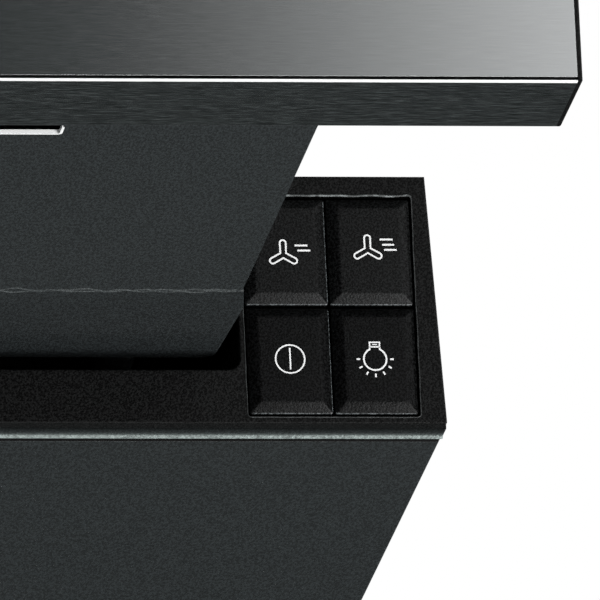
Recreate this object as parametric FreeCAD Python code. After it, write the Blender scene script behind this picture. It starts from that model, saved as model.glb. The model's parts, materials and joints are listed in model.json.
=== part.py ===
"""Slim under cabinet range hood with a slide-out visor, modelled with the visor pulled out.

Millimetres. +X is to the right, +Y to the back and +Z up, as seen by someone standing in front.
The origin is the centre of the four cabinet screw holes, on the top face of the base.
"""
import FreeCAD, Part
import math
import os

V = FreeCAD.Vector

# ---------------------------------------------------------------- driving dimensions
BODY_W = 756.0            # base, across its top
UNDER_HALF_W = 380.95     # underside, a little wider than the top
FRONT_LOW_HALF_W = 380.65 # lower edge of the black front
BODY_D = 284.0            # base, front to back, with the black front
BASE_H = 61.2             # base, underside to top
SHEET = 1.0               # steel sheet
TRAVEL = 173.0            # visor, from pushed in to pulled out

CABINET_HOLE_R = 2.75     # screws into the cabinet
CABINET_PITCH_X = 700.0
CABINET_PITCH_Y = 200.0

FRONT_T = 4.0             # black front, thickness
FRONT_EDGE_R = 0.3        # its rounded lower edge
HEM_Y = 10.2              # rolled hem of the base, behind the black front's face
HEM_R = 0.8
SEAM_Y = 14.3             # front edge of the underside panel, behind the black front's face
OPENING_HALF_W = 332.0    # opening for the tray
OPENING_LOW = 13.25       # its lower lip, above the underside
OPENING_TOP = 4.0         # its upper lip, below the top

RECESS_SIDE = 3.6         # key recess, from the right side of the front
RECESS_W = 41.1
RECESS_LOW = 1.55         # above the underside
RECESS_H = 54.7
KEY_GAP_X = 0.44
KEY_GAP_Z = 0.8
KEY_BEVEL = 2.6           # chamfer round each key, seen from the front
KEY_PROUD = 1.2           # key face, in front of the black front
KEY_TRAVEL = 2.5
STEM_R = 3.5
STEM_CLEARANCE = 0.05

TRAY_LOW = 14.45          # tray and bar underside, above the underside of the base
TRAY_HALF_W = 324.6       # tray skin, from the bar to the bend
TRAY_REAR_HALF_W = 327.5  # tray skin, from a little behind the bend to its rear
TRAY_FLARE = 18.0         # length over which it widens, behind the bend
TRAY_BEND = 55.0          # bend of the skin, in front of the black front
RAMP_RISE = 4.8
RAMP_END = 10.0           # rear edge of the ramp, behind the black front
TRAY_CORNER_R = 3.5
HEM_H = 3.0
TRAY_WALL_X = 310.0       # outside of the tray's side walls
TRAY_TOP = -8.0

BAR_HALF_W = 381.0
BAR_D = 32.0
BAR_GAP = 176.0           # rear of the bar to the black front, pulled out
BAR_TOP = -1.0
CAP_T = 1.2
STRIP = 0.45              # bright strip on the bar's lower front edge
GROOVE = 0.65             # dark groove above it

SLOT_HALF_L = 266.4       # slot in the tray's underside, behind the bar
SLOT_W = 6.5
SLOT_FROM_BAR = 0.6
SLOT_CORNER_R = 1.2
LINER_T = 0.6             # bright lip along the slot's rear and ends
LINER_H = 1.0

CARRIER_X = 327.0         # inner face of the runner carriers
RAIL_L = 250.0
RAIL_T = 1.2
RAIL_LOW = -36.0
RAIL_TOP = -12.0

FILTER_HALF_X = 268.0     # filter aperture
CENTRE_BAR = 10.0
APERTURE_FRONT = -104.0
APERTURE_REAR = 112.0
FLANGE_H = 12.0           # above the underside
FILTER_GAP = 1.5
FILTER_H = 10.0
FILTER_RIM = 12.0
LATCH_W = 31.4
LATCH_TRAVEL = 4.5

LAMP_X = 298.0
LAMP_Y = 75.0
LAMP_R = 24.8
LAMP_DEPTH = 13.0

HOUSING_HALF_X = 140.0    # upper housing round the fan
HOUSING_FRONT = -105.0
HOUSING_REAR = 138.0
HOUSING_H = 182.0
HOUSING_FLANGE = 12.0

FAN_Y = -10.0             # fan axis, along X
FAN_Z = 92.0
WHEEL_R = 62.0
WHEEL_BORE_R = 50.0
BLADES = 24
SCROLL_START_R = 68.0
SCROLL_END_R = 95.0
SCROLL_HALF_X = 55.0
SCROLL_T = 2.0
SCROLL_TOP = 158.0
CUT_OFF = 60.0            # degrees, where the scroll starts
SHAFT_R = 4.0
SHAFT_CLEARANCE = 0.06
MOTOR_R = 42.0

COLLAR_R = 74.5
COLLAR_T = 1.5
COLLAR_H = 40.0
FLAP_AXIS = 4.0           # each flap's pin, off the middle of the collar
FLAP_Z = 190.0
PIN_R = 1.5
PIN_CLEARANCE = 0.06

# ---------------------------------------------------------------- places worked out from them
HALF_W = BODY_W / 2
FRONT = -BODY_D / 2
REAR = BODY_D / 2
BOTTOM = -BASE_H
PANEL_FRONT = FRONT + FRONT_T
UNDER_FRONT = FRONT + SEAM_Y
RECESS_X1 = HALF_W - RECESS_SIDE
RECESS_X0 = RECESS_X1 - RECESS_W
RECESS_Z0 = BOTTOM + RECESS_LOW
RECESS_Z1 = RECESS_Z0 + RECESS_H
KEY_W = (RECESS_W - 3 * KEY_GAP_X) / 2
KEY_H = (RECESS_H - 3 * KEY_GAP_Z) / 2
KEY_BACK = FRONT + 5.5
BLOCK_FRONT = KEY_BACK + 3.0
BLOCK_BACK = FRONT + 30.0
SPRING_BOTTOM = BLOCK_FRONT + 10.0
TRAY_Z = BOTTOM + TRAY_LOW
BEND_Y = FRONT - TRAY_BEND
RAMP_Y = FRONT + RAMP_END
BAR_REAR = FRONT - BAR_GAP
BAR_FRONT = BAR_REAR - BAR_D
SLOT_Y = BAR_REAR + SLOT_FROM_BAR + SLOT_W / 2
RAIL_FRONT = FRONT + 10.0
OUTLET_Y0 = FAN_Y + SCROLL_START_R * math.cos(math.radians(CUT_OFF))
OUTLET_Y1 = FAN_Y + SCROLL_END_R
DUCT_Y = (OUTLET_Y0 + OUTLET_Y1) / 2


# ---------------------------------------------------------------- helpers
def box(x0, x1, y0, y1, z0, z1):
    return Part.makeBox(x1 - x0, y1 - y0, z1 - z0, V(x0, y0, z0))


def rod_x(r, x0, x1, y, z):
    return Part.makeCylinder(r, x1 - x0, V(x0, y, z), V(1, 0, 0))


def rod_y(r, y0, y1, x, z):
    return Part.makeCylinder(r, y1 - y0, V(x, y0, z), V(0, 1, 0))


def rod_z(r, z0, z1, x, y):
    return Part.makeCylinder(r, z1 - z0, V(x, y, z0), V(0, 0, 1))


def prism_x(points_yz, x0, x1):
    """A polygon in the YZ plane, drawn out along X."""
    corners = [V(x0, y, z) for y, z in points_yz]
    face = Part.Face(Part.makePolygon(corners + corners[:1]))
    return face.extrude(V(x1 - x0, 0, 0))


def prism_z(points_xy, z0, z1):
    """A polygon in the XY plane, drawn up along Z."""
    corners = [V(x, y, z0) for x, y in points_xy]
    face = Part.Face(Part.makePolygon(corners + corners[:1]))
    return face.extrude(V(0, 0, z1 - z0))


def slot_prism(half_length, width, y, z0, z1, corner):
    """A prism with rounded corners, long in X."""
    straight = box(-half_length, half_length, y - width / 2, y + width / 2, z0, z1)
    return rounded(straight, corner, V(0, 0, 1))


def mirrored(shape):
    return shape.mirror(V(0, 0, 0), V(1, 0, 0))


def edges_where(shape, test):
    """The straight edges whose middle point and direction pass the test."""
    found = []
    for edge in shape.Edges:
        a = edge.Vertexes[0].Point
        b = edge.Vertexes[-1].Point
        along = b - a
        if along.Length > 1e-6 and test((a + b) * 0.5, along.normalize()):
            found.append(edge)
    return found


def edges_along(shape, direction):
    return edges_where(shape, lambda mid, along: abs(along.dot(direction)) > 0.999)


def rounded(shape, radius, direction):
    return shape.makeFillet(radius, edges_along(shape, direction))


def fused(shapes):
    return shapes[0].fuse(shapes[1:]).removeSplitter()


def write(node, shapes):
    """One STEP file for one node: a solid, or a group of separate solids."""
    solids = [s for shape in shapes for s in shape.Solids]
    bad = [s for s in solids if not s.isValid() or s.Volume <= 0]
    if bad or not solids:
        raise ValueError(node + " has no valid solid")
    shape = solids[0] if len(solids) == 1 else Part.makeCompound(solids)
    shape.exportStep("parts/" + node + ".step")
    volume = sum(s.Volume for s in solids) / 1000.0
    print("%-20s %2d solids %9.2f cm3" % (node, len(solids), volume))


def pan_screw(x, y, z, axis, shank, r=2.0):
    """A pan-head screw: its head stands on the point given and its shank runs along the axis."""
    at = V(x, y, z)
    way = V(*axis)
    head = Part.makeCylinder(r * 1.9, r * 0.8, at - way * (r * 0.8), way)
    head = head.makeFillet(r * 0.3, [e for e in head.Edges if abs((e.CenterOfMass - at).dot(way)) > 0.1
                                     and len(e.Vertexes) == 1])
    drive = Part.makeBox(r * 2.2, r * 0.4, r * 0.4, V(-r * 1.1, -r * 0.2, 0))
    drive = drive.fuse(Part.makeBox(r * 0.4, r * 2.2, r * 0.4, V(-r * 0.2, -r * 1.1, 0)))
    drive.Placement = FreeCAD.Placement(at - way * (r * 0.8), FreeCAD.Rotation(V(0, 0, 1), way))
    body = Part.makeCylinder(r, shank, at, way)
    return head.fuse(body).cut(drive).removeSplitter()


def drilled(shape, places, axis, r, depth):
    """Holes through the shape at the places, from each place along the axis."""
    way = V(*axis)
    holes = [Part.makeCylinder(r, depth * 2, V(*p) - way * depth, way) for p in places]
    return shape.cut(holes)


# ---------------------------------------------------------------- base
SCREW_HOLE_R = 2.1
side_screws = [(side * HALF_W, FRONT + 11.0, z) for side in (-1, 1) for z in (-12.0, -52.0)]
under_screws = [(x, y, BOTTOM) for x in (-368.0, 368.0) for y in (60.0, 132.0)]
under_screws += [(x, 135.0, BOTTOM) for x in (-150.0, 150.0)]
housing_screws = [(side * 146.0, y, SHEET) for side in (-1, 1) for y in (-80.0, 12.0, 105.0)]
cabinet_holes = [(sx * CABINET_PITCH_X / 2, sy * CABINET_PITCH_Y / 2, 0.0)
                 for sx in (-1, 1) for sy in (-1, 1)]


def base_shell():
    top = box(-HALF_W, HALF_W, PANEL_FRONT, REAR, -SHEET, 0)
    intake = box(-125, 125, -92, 118, -2 * SHEET, SHEET)
    top = top.cut(rounded(intake, 12, V(0, 0, 1)))
    walls = [top, box(-HALF_W, HALF_W, REAR - SHEET, REAR, BOTTOM + SHEET, 0)]
    low = BOTTOM + SHEET
    for side in (-1, 1):
        x0, x1 = sorted((side * HALF_W, side * (HALF_W - SHEET)))
        walls.append(box(x0, x1, PANEL_FRONT, REAR, low, 0))
        f0, f1 = sorted((side * HALF_W, side * (HALF_W - 14)))
        walls.append(box(f0, f1, 20, REAR, low, low + SHEET))
    walls.append(box(-HALF_W, HALF_W, REAR - 14, REAR, low, low + SHEET))
    hem = FRONT + HEM_Y
    walls.append(box(-UNDER_HALF_W, UNDER_HALF_W, PANEL_FRONT, hem, BOTTOM, low))
    walls.append(rod_x(HEM_R, -UNDER_HALF_W, UNDER_HALF_W, hem, BOTTOM + 0.25))
    walls.append(box(-324, 324, hem - 0.8, hem + 0.2, BOTTOM + 0.5, BOTTOM + 9))
    shell = fused(walls)
    upright = edges_where(shell, lambda mid, along: abs(along.z) > 0.999
                          and abs(mid.x) > HALF_W - 0.1 and mid.y > REAR - 0.1)
    shell = shell.makeFillet(0.9, upright)
    shell = drilled(shell, cabinet_holes, (0, 0, 1), CABINET_HOLE_R, 5)
    shell = drilled(shell, side_screws, (1, 0, 0), SCREW_HOLE_R, 5)
    shell = drilled(shell, under_screws, (0, 0, 1), SCREW_HOLE_R, 5)
    return drilled(shell, housing_screws, (0, 0, 1), SCREW_HOLE_R, 5)


def filter_side(x0, x1):
    """The upturned flange round one filter opening, with its latch and tab slots."""
    outer = box(x0 - SHEET, x1 + SHEET, APERTURE_FRONT - SHEET, APERTURE_REAR + SHEET,
                BOTTOM + SHEET, BOTTOM + FLANGE_H)
    inner = box(x0, x1, APERTURE_FRONT, APERTURE_REAR, BOTTOM, BOTTOM + FLANGE_H + 1)
    mid = (x0 + x1) / 2
    latch_slot = box(mid - 9, mid + 9, APERTURE_FRONT - 3, APERTURE_FRONT + 3, BOTTOM + 2.4, BOTTOM + 5.6)
    tab_slots = [box(mid + dx - 11, mid + dx + 11, APERTURE_REAR - 3, APERTURE_REAR + 3,
                     BOTTOM + 3.8, BOTTOM + 6.6)
                 for dx in (-80, 80)]
    return outer.cut([inner, latch_slot] + tab_slots)


def underside_panel():
    plate = box(-UNDER_HALF_W, UNDER_HALF_W, UNDER_FRONT, REAR, BOTTOM, BOTTOM + SHEET)
    outside = edges_where(plate, lambda mid, along: mid.z < BOTTOM + 0.1 and mid.y > UNDER_FRONT + 1)
    plate = plate.makeFillet(0.8, outside)
    half_bar = CENTRE_BAR / 2
    spans = [(half_bar, FILTER_HALF_X), (-FILTER_HALF_X, -half_bar)]
    openings = [box(x0, x1, APERTURE_FRONT, APERTURE_REAR, BOTTOM - 1, BOTTOM + 2) for x0, x1 in spans]
    lamps = [rod_z(LAMP_R + 0.2, BOTTOM - 1, BOTTOM + 2, side * LAMP_X, LAMP_Y) for side in (-1, 1)]
    plate = plate.cut(openings + lamps)
    plate = drilled(plate, under_screws, (0, 0, 1), SCREW_HOLE_R, 5)
    stiffener = box(-320, 320, UNDER_FRONT, UNDER_FRONT + 1, BOTTOM + SHEET, BOTTOM + 13)
    return fused([plate, stiffener] + [filter_side(x0, x1) for x0, x1 in spans])


def black_front():
    corners = [V(-FRONT_LOW_HALF_W, FRONT, BOTTOM), V(FRONT_LOW_HALF_W, FRONT, BOTTOM),
               V(HALF_W, FRONT, 0), V(-HALF_W, FRONT, 0)]
    plate = Part.Face(Part.makePolygon(corners + corners[:1])).extrude(V(0, FRONT_T, 0))
    low_edge = edges_where(plate, lambda mid, along: mid.z < BOTTOM + 0.1 and mid.y < FRONT + 0.1)
    plate = plate.makeFillet(FRONT_EDGE_R, low_edge)
    rim = edges_where(plate, lambda mid, along: mid.y < FRONT + 0.1 and mid.z > BOTTOM + 5)
    rim = [e for e in rim if not (abs(e.Vertexes[0].Point.z - e.Vertexes[-1].Point.z) < 0.1
                                  and e.Vertexes[0].Point.z < BOTTOM + 10)]
    plate = plate.makeFillet(0.5, rim)
    low = BOTTOM + OPENING_LOW
    mouth = box(-OPENING_HALF_W, OPENING_HALF_W, FRONT - 2, PANEL_FRONT + 9, low, -OPENING_TOP)
    mouth = rounded(mouth, 3.0, V(0, 1, 0))
    collar = box(-320, 320, PANEL_FRONT, PANEL_FRONT + 2, low - 2, -OPENING_TOP + 2)
    recess = box(RECESS_X0, RECESS_X1, FRONT - 1, PANEL_FRONT + 1, RECESS_Z0, RECESS_Z1)
    recess = rounded(recess, 0.9, V(0, 1, 0))
    tabs = []
    for side in (-1, 1):
        x0, x1 = sorted((side * (HALF_W - 3), side * (HALF_W - SHEET)))
        tabs.append(box(x0, x1, PANEL_FRONT, PANEL_FRONT + 15, BOTTOM + 2, -2))
    front = plate.fuse([collar] + tabs).cut([mouth, recess]).removeSplitter()
    mouth_edges = [e for e in front.Edges
                   if abs(e.CenterOfMass.y - FRONT) < 0.01
                   and all(abs(v.Point.y - FRONT) < 0.01 for v in e.Vertexes)
                   and low - 0.1 < e.CenterOfMass.z < -OPENING_TOP + 0.1
                   and abs(e.CenterOfMass.x) < OPENING_HALF_W + 0.1]
    front = front.makeFillet(0.5, mouth_edges)
    recess_edges = [e for e in front.Edges
                    if all(abs(v.Point.y - FRONT) < 0.01 for v in e.Vertexes)
                    and abs(e.CenterOfMass.y - FRONT) < 0.01
                    and RECESS_X0 - 0.1 < e.CenterOfMass.x < RECESS_X1 + 0.1
                    and RECESS_Z0 - 0.1 < e.CenterOfMass.z < RECESS_Z1 + 0.1]
    front = front.makeFillet(0.35, recess_edges)
    return drilled(front, side_screws, (1, 0, 0), 1.6, 6)


def runner_carrier():
    """The upright steel sheet that holds one runner, with a flange under the top of the base."""
    web = box(CARRIER_X, CARRIER_X + SHEET, FRONT + 7, REAR - 4, RAIL_LOW - 1, -SHEET)
    flange = box(CARRIER_X, CARRIER_X + 13, FRONT + 7, REAR - 4, -2 * SHEET, -SHEET)
    lightening = [rod_x(3, CARRIER_X - 2, CARRIER_X + 3, y, -7) for y in range(-100, 121, 44)]
    return fused([web, flange]).cut(lightening)


write("base_shell", [base_shell()])
write("underside_panel", [underside_panel()])
write("black_front", [black_front()])
right_carrier = runner_carrier()
write("runner_carriers", [right_carrier, mirrored(right_carrier)])
write("base_screws", [pan_screw(x, y, z, (-math.copysign(1, x), 0, 0), 2.9, 1.6)
                      for x, y, z in side_screws]
      + [pan_screw(x, y, z, (0, 0, 1), 8.0) for x, y, z in under_screws])


# ---------------------------------------------------------------- runners
def channel(x_open, x_web, y0, y1, z0, z1, thick=RAIL_T):
    """A C section along Y: its web is at x_web and its flanges reach to x_open."""
    inward = math.copysign(1, x_open - x_web)
    lo, hi = sorted((x_open, x_web))
    outer = box(lo, hi, y0, y1, z0, z1)
    w0, w1 = sorted((x_web + inward * thick, x_open + inward))
    return outer.cut(box(w0, w1, y0 - 1, y1 + 1, z0 + thick, z1 - thick))


fixed_rail = channel(319.0, CARRIER_X, RAIL_FRONT, RAIL_FRONT + RAIL_L, RAIL_LOW, RAIL_TOP)
middle_y0 = RAIL_FRONT + 1 - TRAVEL / 2
middle_rail = channel(313.5, 323.8, middle_y0, middle_y0 + RAIL_L - 2, RAIL_LOW + 1.8, RAIL_TOP - 1.8)
tray_rail_y0 = RAIL_FRONT + 2 - TRAVEL
tray_rail = channel(319.5, TRAY_WALL_X, tray_rail_y0, tray_rail_y0 + RAIL_L - 2,
                    RAIL_LOW + 4, RAIL_TOP - 4)


def slide_pads():
    """Thin nylon strips on both sides of the middle rail's flanges, near its two ends."""
    pads = []
    for y0 in (middle_y0 + 4, middle_y0 + RAIL_L - 2 - 64):
        for low, face in ((True, RAIL_LOW + 1.8), (False, RAIL_TOP - 1.8)):
            out = -1 if low else 1
            z0, z1 = sorted((face, face + out * 0.55))
            pads.append(box(319.3, 322.4, y0, y0 + 60, z0, z1))
            inner = face - out * RAIL_T
            z0, z1 = sorted((inner, inner - out * 0.95))
            pads.append(box(313.8, 319.2, y0, y0 + 60, z0, z1))
    return pads


pads = slide_pads()
stop = box(311.0, CARRIER_X, RAIL_FRONT + RAIL_L + 0.3, RAIL_FRONT + RAIL_L + 6, -28, -20)
for side, turn in (("right", lambda s: s), ("left", mirrored)):
    write("rail_middle_" + side, [turn(middle_rail)])
    write("rail_pads_" + side, [turn(p) for p in pads])
    write("rail_tray_" + side, [turn(tray_rail)])
write("rails_fixed", [fixed_rail, mirrored(fixed_rail)])
write("slide_stops", [stop, mirrored(stop)])


# ---------------------------------------------------------------- tray
def tray_outline(inset):
    """Plan of the tray's skin: it widens a little behind the bend and has round rear corners."""
    a = TRAY_HALF_W - inset
    b = TRAY_REAR_HALF_W - inset
    y = RAMP_Y - inset
    front = BAR_REAR
    flare = BEND_Y + TRAY_FLARE
    points = [(-a, front), (a, front), (a, BEND_Y - 2), (b, flare), (b, y),
              (-b, y), (-b, flare), (-a, BEND_Y - 2)]
    plan = prism_z(points, TRAY_Z - 2, TRAY_Z + 20)
    corners = edges_where(plan, lambda mid, along: abs(along.z) > 0.999 and mid.y > y - 0.1)
    return plan.makeFillet(TRAY_CORNER_R - inset, corners)


def tray_skin():
    low = TRAY_Z
    ramp = low + RAMP_RISE
    section = [(BAR_REAR, low), (BEND_Y, low), (RAMP_Y + 1, ramp + RAMP_RISE / 65.0),
               (RAMP_Y + 1, ramp + HEM_H), (BEND_Y, low + HEM_H), (BAR_REAR, low + HEM_H)]
    outer = prism_x(section, -330, 330).common(tray_outline(0))
    rear = edges_where(outer, lambda mid, along: abs(along.x) > 0.999 and mid.y > RAMP_Y - 0.1
                       and mid.z < ramp + 1)
    outer = outer.makeFillet(0.8, rear)
    hollow = [(BAR_REAR - 1, low + SHEET), (BEND_Y, low + SHEET), (RAMP_Y + 1, ramp + SHEET),
              (RAMP_Y + 1, low + 30), (BAR_REAR - 1, low + 30)]
    inner = prism_x(hollow, -330, 330).common(tray_outline(SHEET).fuse(
        box(-TRAY_HALF_W + SHEET, TRAY_HALF_W - SHEET, BAR_REAR - 2, BAR_REAR + 1, low, low + 20)))
    skin = outer.cut(inner)
    bevels = []
    for side in (-1, 1):
        edge = side * (TRAY_HALF_W + 1.4)
        start = V(side * TRAY_HALF_W, BEND_Y - 48, low - 0.02)
        end = V(side * (TRAY_HALF_W - 1.6), BEND_Y, low - 0.02)
        far = V(edge + side * 1.0, BEND_Y + 0.5, low + 0.7)
        near = V(edge + side * 1.0, BEND_Y - 48, low + 0.25)
        below = V(0, 0, -3)
        top = [start, end, far, near]
        wedge = Part.makeLoft([Part.makePolygon([start, end, end + below, start + below, start]),
                               Part.makePolygon([near, far, far + below, near + below, near])],
                              True, True)
        bevels.append(wedge)
    return skin.cut(bevels)


def tray_side(side):
    """One side wall of the tray, with an arm that reaches back to the tie."""
    low = TRAY_Z + SHEET
    rear = RAMP_Y + 82
    outline = [(BAR_REAR + 1, low), (BEND_Y, low), (RAMP_Y - 1, low + RAMP_RISE - 0.1),
               (RAMP_Y - 1, low + RAMP_RISE + 2), (rear - 6, low + RAMP_RISE + 2),
               (rear, low + RAMP_RISE + 8), (rear, TRAY_TOP - 6), (rear - 6, TRAY_TOP),
               (BAR_REAR + 1, TRAY_TOP)]
    x0, x1 = sorted((side * TRAY_WALL_X, side * (TRAY_WALL_X - SHEET)))
    return prism_x(outline, x0, x1)


cover_screws = [(x, y, TRAY_TOP + SHEET) for x in (-302.0, 302.0) for y in (-300.0, -226.0, -150.0)]
bar_screws = [(x, BAR_REAR + SHEET, -24.0) for x in (-280.0, -140.0, 0.0, 140.0, 280.0)]


def tray_pan():
    front_wall = box(-TRAY_WALL_X, TRAY_WALL_X, BAR_REAR, BAR_REAR + SHEET, TRAY_Z + SHEET, TRAY_TOP)
    hole = slot_prism(SLOT_HALF_L, SLOT_W, SLOT_Y, TRAY_Z - 1, TRAY_Z + 3, SLOT_CORNER_R)
    skin = tray_skin().cut(hole)
    ledges = [box(min(s * 294, s * TRAY_WALL_X), max(s * 294, s * TRAY_WALL_X),
                  BAR_REAR, RAMP_Y - 6, TRAY_TOP - SHEET, TRAY_TOP) for s in (-1, 1)]
    pan = fused([skin, front_wall, tray_side(-1), tray_side(1)] + ledges)
    pan = drilled(pan, cover_screws, (0, 0, 1), SCREW_HOLE_R, 4)
    return drilled(pan, bar_screws, (0, 1, 0), SCREW_HOLE_R, 3)


def slot_liner():
    """A bright lip along the slot's rear and round its two ends. The slot's front edge is bare."""
    outside = slot_prism(SLOT_HALF_L, SLOT_W, SLOT_Y, TRAY_Z, TRAY_Z + LINER_H, SLOT_CORNER_R)
    inside = slot_prism(SLOT_HALF_L - LINER_T, SLOT_W - 2 * LINER_T, SLOT_Y, TRAY_Z - 1, TRAY_Z + 5,
                        SLOT_CORNER_R - LINER_T)
    front = SLOT_Y - SLOT_W / 2
    return outside.cut([inside, box(-300, 300, front - 1, front + 1.5, TRAY_Z - 1, TRAY_Z + 5)])


def tray_cover():
    plate = box(-TRAY_WALL_X, TRAY_WALL_X, BAR_REAR, RAMP_Y, TRAY_TOP, TRAY_TOP + SHEET)
    corners = edges_where(plate, lambda mid, along: abs(along.z) > 0.999 and mid.y > RAMP_Y - 1)
    plate = plate.makeFillet(4, corners)
    lip = box(-290, 290, RAMP_Y - SHEET, RAMP_Y, TRAY_TOP - 8, TRAY_TOP)
    return drilled(fused([plate, lip]), cover_screws, (0, 0, 1), SCREW_HOLE_R, 4)


write("tray_pan", [tray_pan()])
write("tray_slot_liner", [slot_liner()])
write("tray_cover", [tray_cover()])
tie_y = RAMP_Y + 70
tie = box(-TRAY_WALL_X + SHEET, TRAY_WALL_X - SHEET, tie_y, tie_y + 12, -34, -16)
tie = tie.cut(box(-400, 400, tie_y + RAIL_T, tie_y + 13, -34 + RAIL_T, -16 - RAIL_T))
write("tray_tie", [tie])
write("tray_screws", [pan_screw(x, y, z, (0, 0, -1), 5.0) for x, y, z in cover_screws]
      + [pan_screw(x, y, z, (0, -1, 0), 5.0) for x, y, z in bar_screws])


# ---------------------------------------------------------------- front bar
def bar_sheet():
    """Folded sheet: front, underside and top, with two short lips at the rear."""
    half = BAR_HALF_W - CAP_T
    outer = box(-half, half, BAR_FRONT, BAR_REAR, TRAY_Z, BAR_TOP)
    top_edge = edges_where(outer, lambda mid, along: abs(along.x) > 0.999 and mid.y < BAR_FRONT + 0.1
                           and mid.z > -10)
    outer = outer.makeFillet(0.9, top_edge)
    inner = box(-half - 1, half + 1, BAR_FRONT + SHEET, BAR_REAR - SHEET, TRAY_Z + SHEET, BAR_TOP - SHEET)
    mouth = box(-half - 1, half + 1, BAR_REAR - 2, BAR_REAR + 1, TRAY_Z + 12, BAR_TOP - 12)
    notch = box(-half - 1, half + 1, BAR_FRONT - 1, BAR_FRONT + SHEET, TRAY_Z - 1, TRAY_Z + STRIP + GROOVE)
    back_up = box(-half, half, BAR_FRONT + SHEET, BAR_FRONT + 2 * SHEET, TRAY_Z, TRAY_Z + 4)
    return outer.cut([inner, mouth, notch]).fuse(back_up).removeSplitter()


def bar_stiffener():
    """C section inside the bar: its web closes the bar's rear and takes the tray's screws."""
    half = BAR_HALF_W - CAP_T - 4
    z0 = TRAY_Z + 12.2
    z1 = BAR_TOP - 12.2
    outer = box(-half, half, BAR_FRONT + 2 * SHEET, BAR_REAR, z0, z1)
    inner = box(-half - 1, half + 1, BAR_FRONT, BAR_REAR - 1.5, z0 + 1.5, z1 - 1.5)
    return drilled(outer.cut(inner), bar_screws, (0, 1, 0), SCREW_HOLE_R, 5)


def edge_strip():
    half = BAR_HALF_W - CAP_T
    strip = box(-half, half, BAR_FRONT, BAR_FRONT + SHEET, TRAY_Z, TRAY_Z + STRIP)
    low = edges_where(strip, lambda mid, along: abs(along.x) > 0.999 and mid.y < BAR_FRONT + 0.1)
    return strip.makeFillet(0.2, low)


def bar_cap(side):
    x0, x1 = sorted((side * (BAR_HALF_W - CAP_T), side * BAR_HALF_W))
    cap = box(x0, x1, BAR_FRONT, BAR_REAR, TRAY_Z, BAR_TOP)
    outside = edges_where(cap, lambda mid, along: abs(mid.x - side * BAR_HALF_W) < 0.1)
    cap = cap.makeFillet(0.6, outside)
    p0, p1 = sorted((side * (BAR_HALF_W - CAP_T - 4), side * (BAR_HALF_W - CAP_T)))
    plug = box(p0, p1, BAR_FRONT + 3, BAR_REAR - 3, TRAY_Z + 3, BAR_TOP - 3)
    plug = plug.cut(box(p0 - 1, p1 + 1, BAR_FRONT + 5, BAR_REAR - 5, TRAY_Z + 5, BAR_TOP - 5))
    return fused([cap, plug])


write("bar_sheet", [bar_sheet()])
write("bar_stiffener", [bar_stiffener()])
write("bar_edge_strip", [edge_strip()])
write("bar_caps", [bar_cap(-1), bar_cap(1)])


# ---------------------------------------------------------------- keys
def key_centre(column, row):
    x = RECESS_X0 + KEY_GAP_X + KEY_W / 2 + column * (KEY_W + KEY_GAP_X)
    z = RECESS_Z0 + KEY_GAP_Z + KEY_H / 2 + row * (KEY_H + KEY_GAP_Z)
    return x, z


def key(column, row):
    """A push key: a chamfered cap with a rim round it, and a stem behind."""
    x, z = key_centre(column, row)
    rim = FRONT + 0.4
    face = FRONT - KEY_PROUD
    w = KEY_W / 2
    h = KEY_H / 2

    def outline(half_w, half_h, y):
        corners = [V(x - half_w, y, z - half_h), V(x + half_w, y, z - half_h),
                   V(x + half_w, y, z + half_h), V(x - half_w, y, z + half_h)]
        return Part.makePolygon(corners + corners[:1])

    cap = Part.makeLoft([outline(w, h, rim), outline(w - KEY_BEVEL, h - KEY_BEVEL, face)], True, True)
    skirt = box(x - w, x + w, rim, KEY_BACK, z - h, z + h)
    skirt = rounded(skirt, 0.5, V(0, 1, 0))
    cap = cap.common(rounded(box(x - w, x + w, face - 1, rim, z - h, z + h), 0.5, V(0, 1, 0)))
    stem = rod_y(STEM_R, KEY_BACK, BLOCK_BACK - 3, x, z)
    return fused([skirt, cap, stem])


def key_spring(column, row):
    """A coil spring round the stem, made of tilted half rings, each a little deeper than the last."""
    x, z = key_centre(column, row)
    wire = 0.35
    turns = 4
    coil_r = STEM_R + 1.0
    rise = (SPRING_BOTTOM - KEY_BACK - 2 * wire - 0.1) / (2 * turns)
    ring_r = math.hypot(coil_r, rise / 2)
    tilt = math.degrees(math.atan2(rise / 2, coil_r))
    halves = []
    for i in range(2 * turns):
        half = Part.makeTorus(ring_r, wire, V(0, 0, 0), V(0, 0, 1), -180, 180, 180)
        half.rotate(V(0, 0, 0), V(0, 0, 1), 180 * (i % 2))
        half.rotate(V(0, 0, 0), V(0, 1, 0), tilt if i % 2 == 0 else -tilt)
        half.translate(V(0, 0, rise * (i + 0.5)))
        halves.append(half)
    coil = fused(halves)
    coil.Placement = FreeCAD.Placement(V(x, KEY_BACK + wire + 0.05, z),
                                       FreeCAD.Rotation(V(0, 0, 1), V(0, 1, 0)))
    return coil


def switch_block():
    """The housing behind the keys: a pocket for their skirts, and four wells with guide holes."""
    x0 = RECESS_X0 - 0.9
    x1 = HALF_W - 3.1
    outer = box(x0, x1, PANEL_FRONT, BLOCK_BACK, BOTTOM + SHEET + 0.1, RECESS_Z1 + 1.2)
    pocket = box(RECESS_X0, RECESS_X1 - 0.2, PANEL_FRONT - 1, BLOCK_FRONT, RECESS_Z0, RECESS_Z1)
    holes = []
    for column in (0, 1):
        for row in (0, 1):
            x, z = key_centre(column, row)
            holes.append(rod_y(STEM_R + STEM_CLEARANCE, BLOCK_FRONT - 1, BLOCK_BACK + 1, x, z))
            holes.append(rod_y(STEM_R + 2.0, BLOCK_FRONT - 1, SPRING_BOTTOM, x, z))
    return outer.cut([pocket] + holes)


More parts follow.
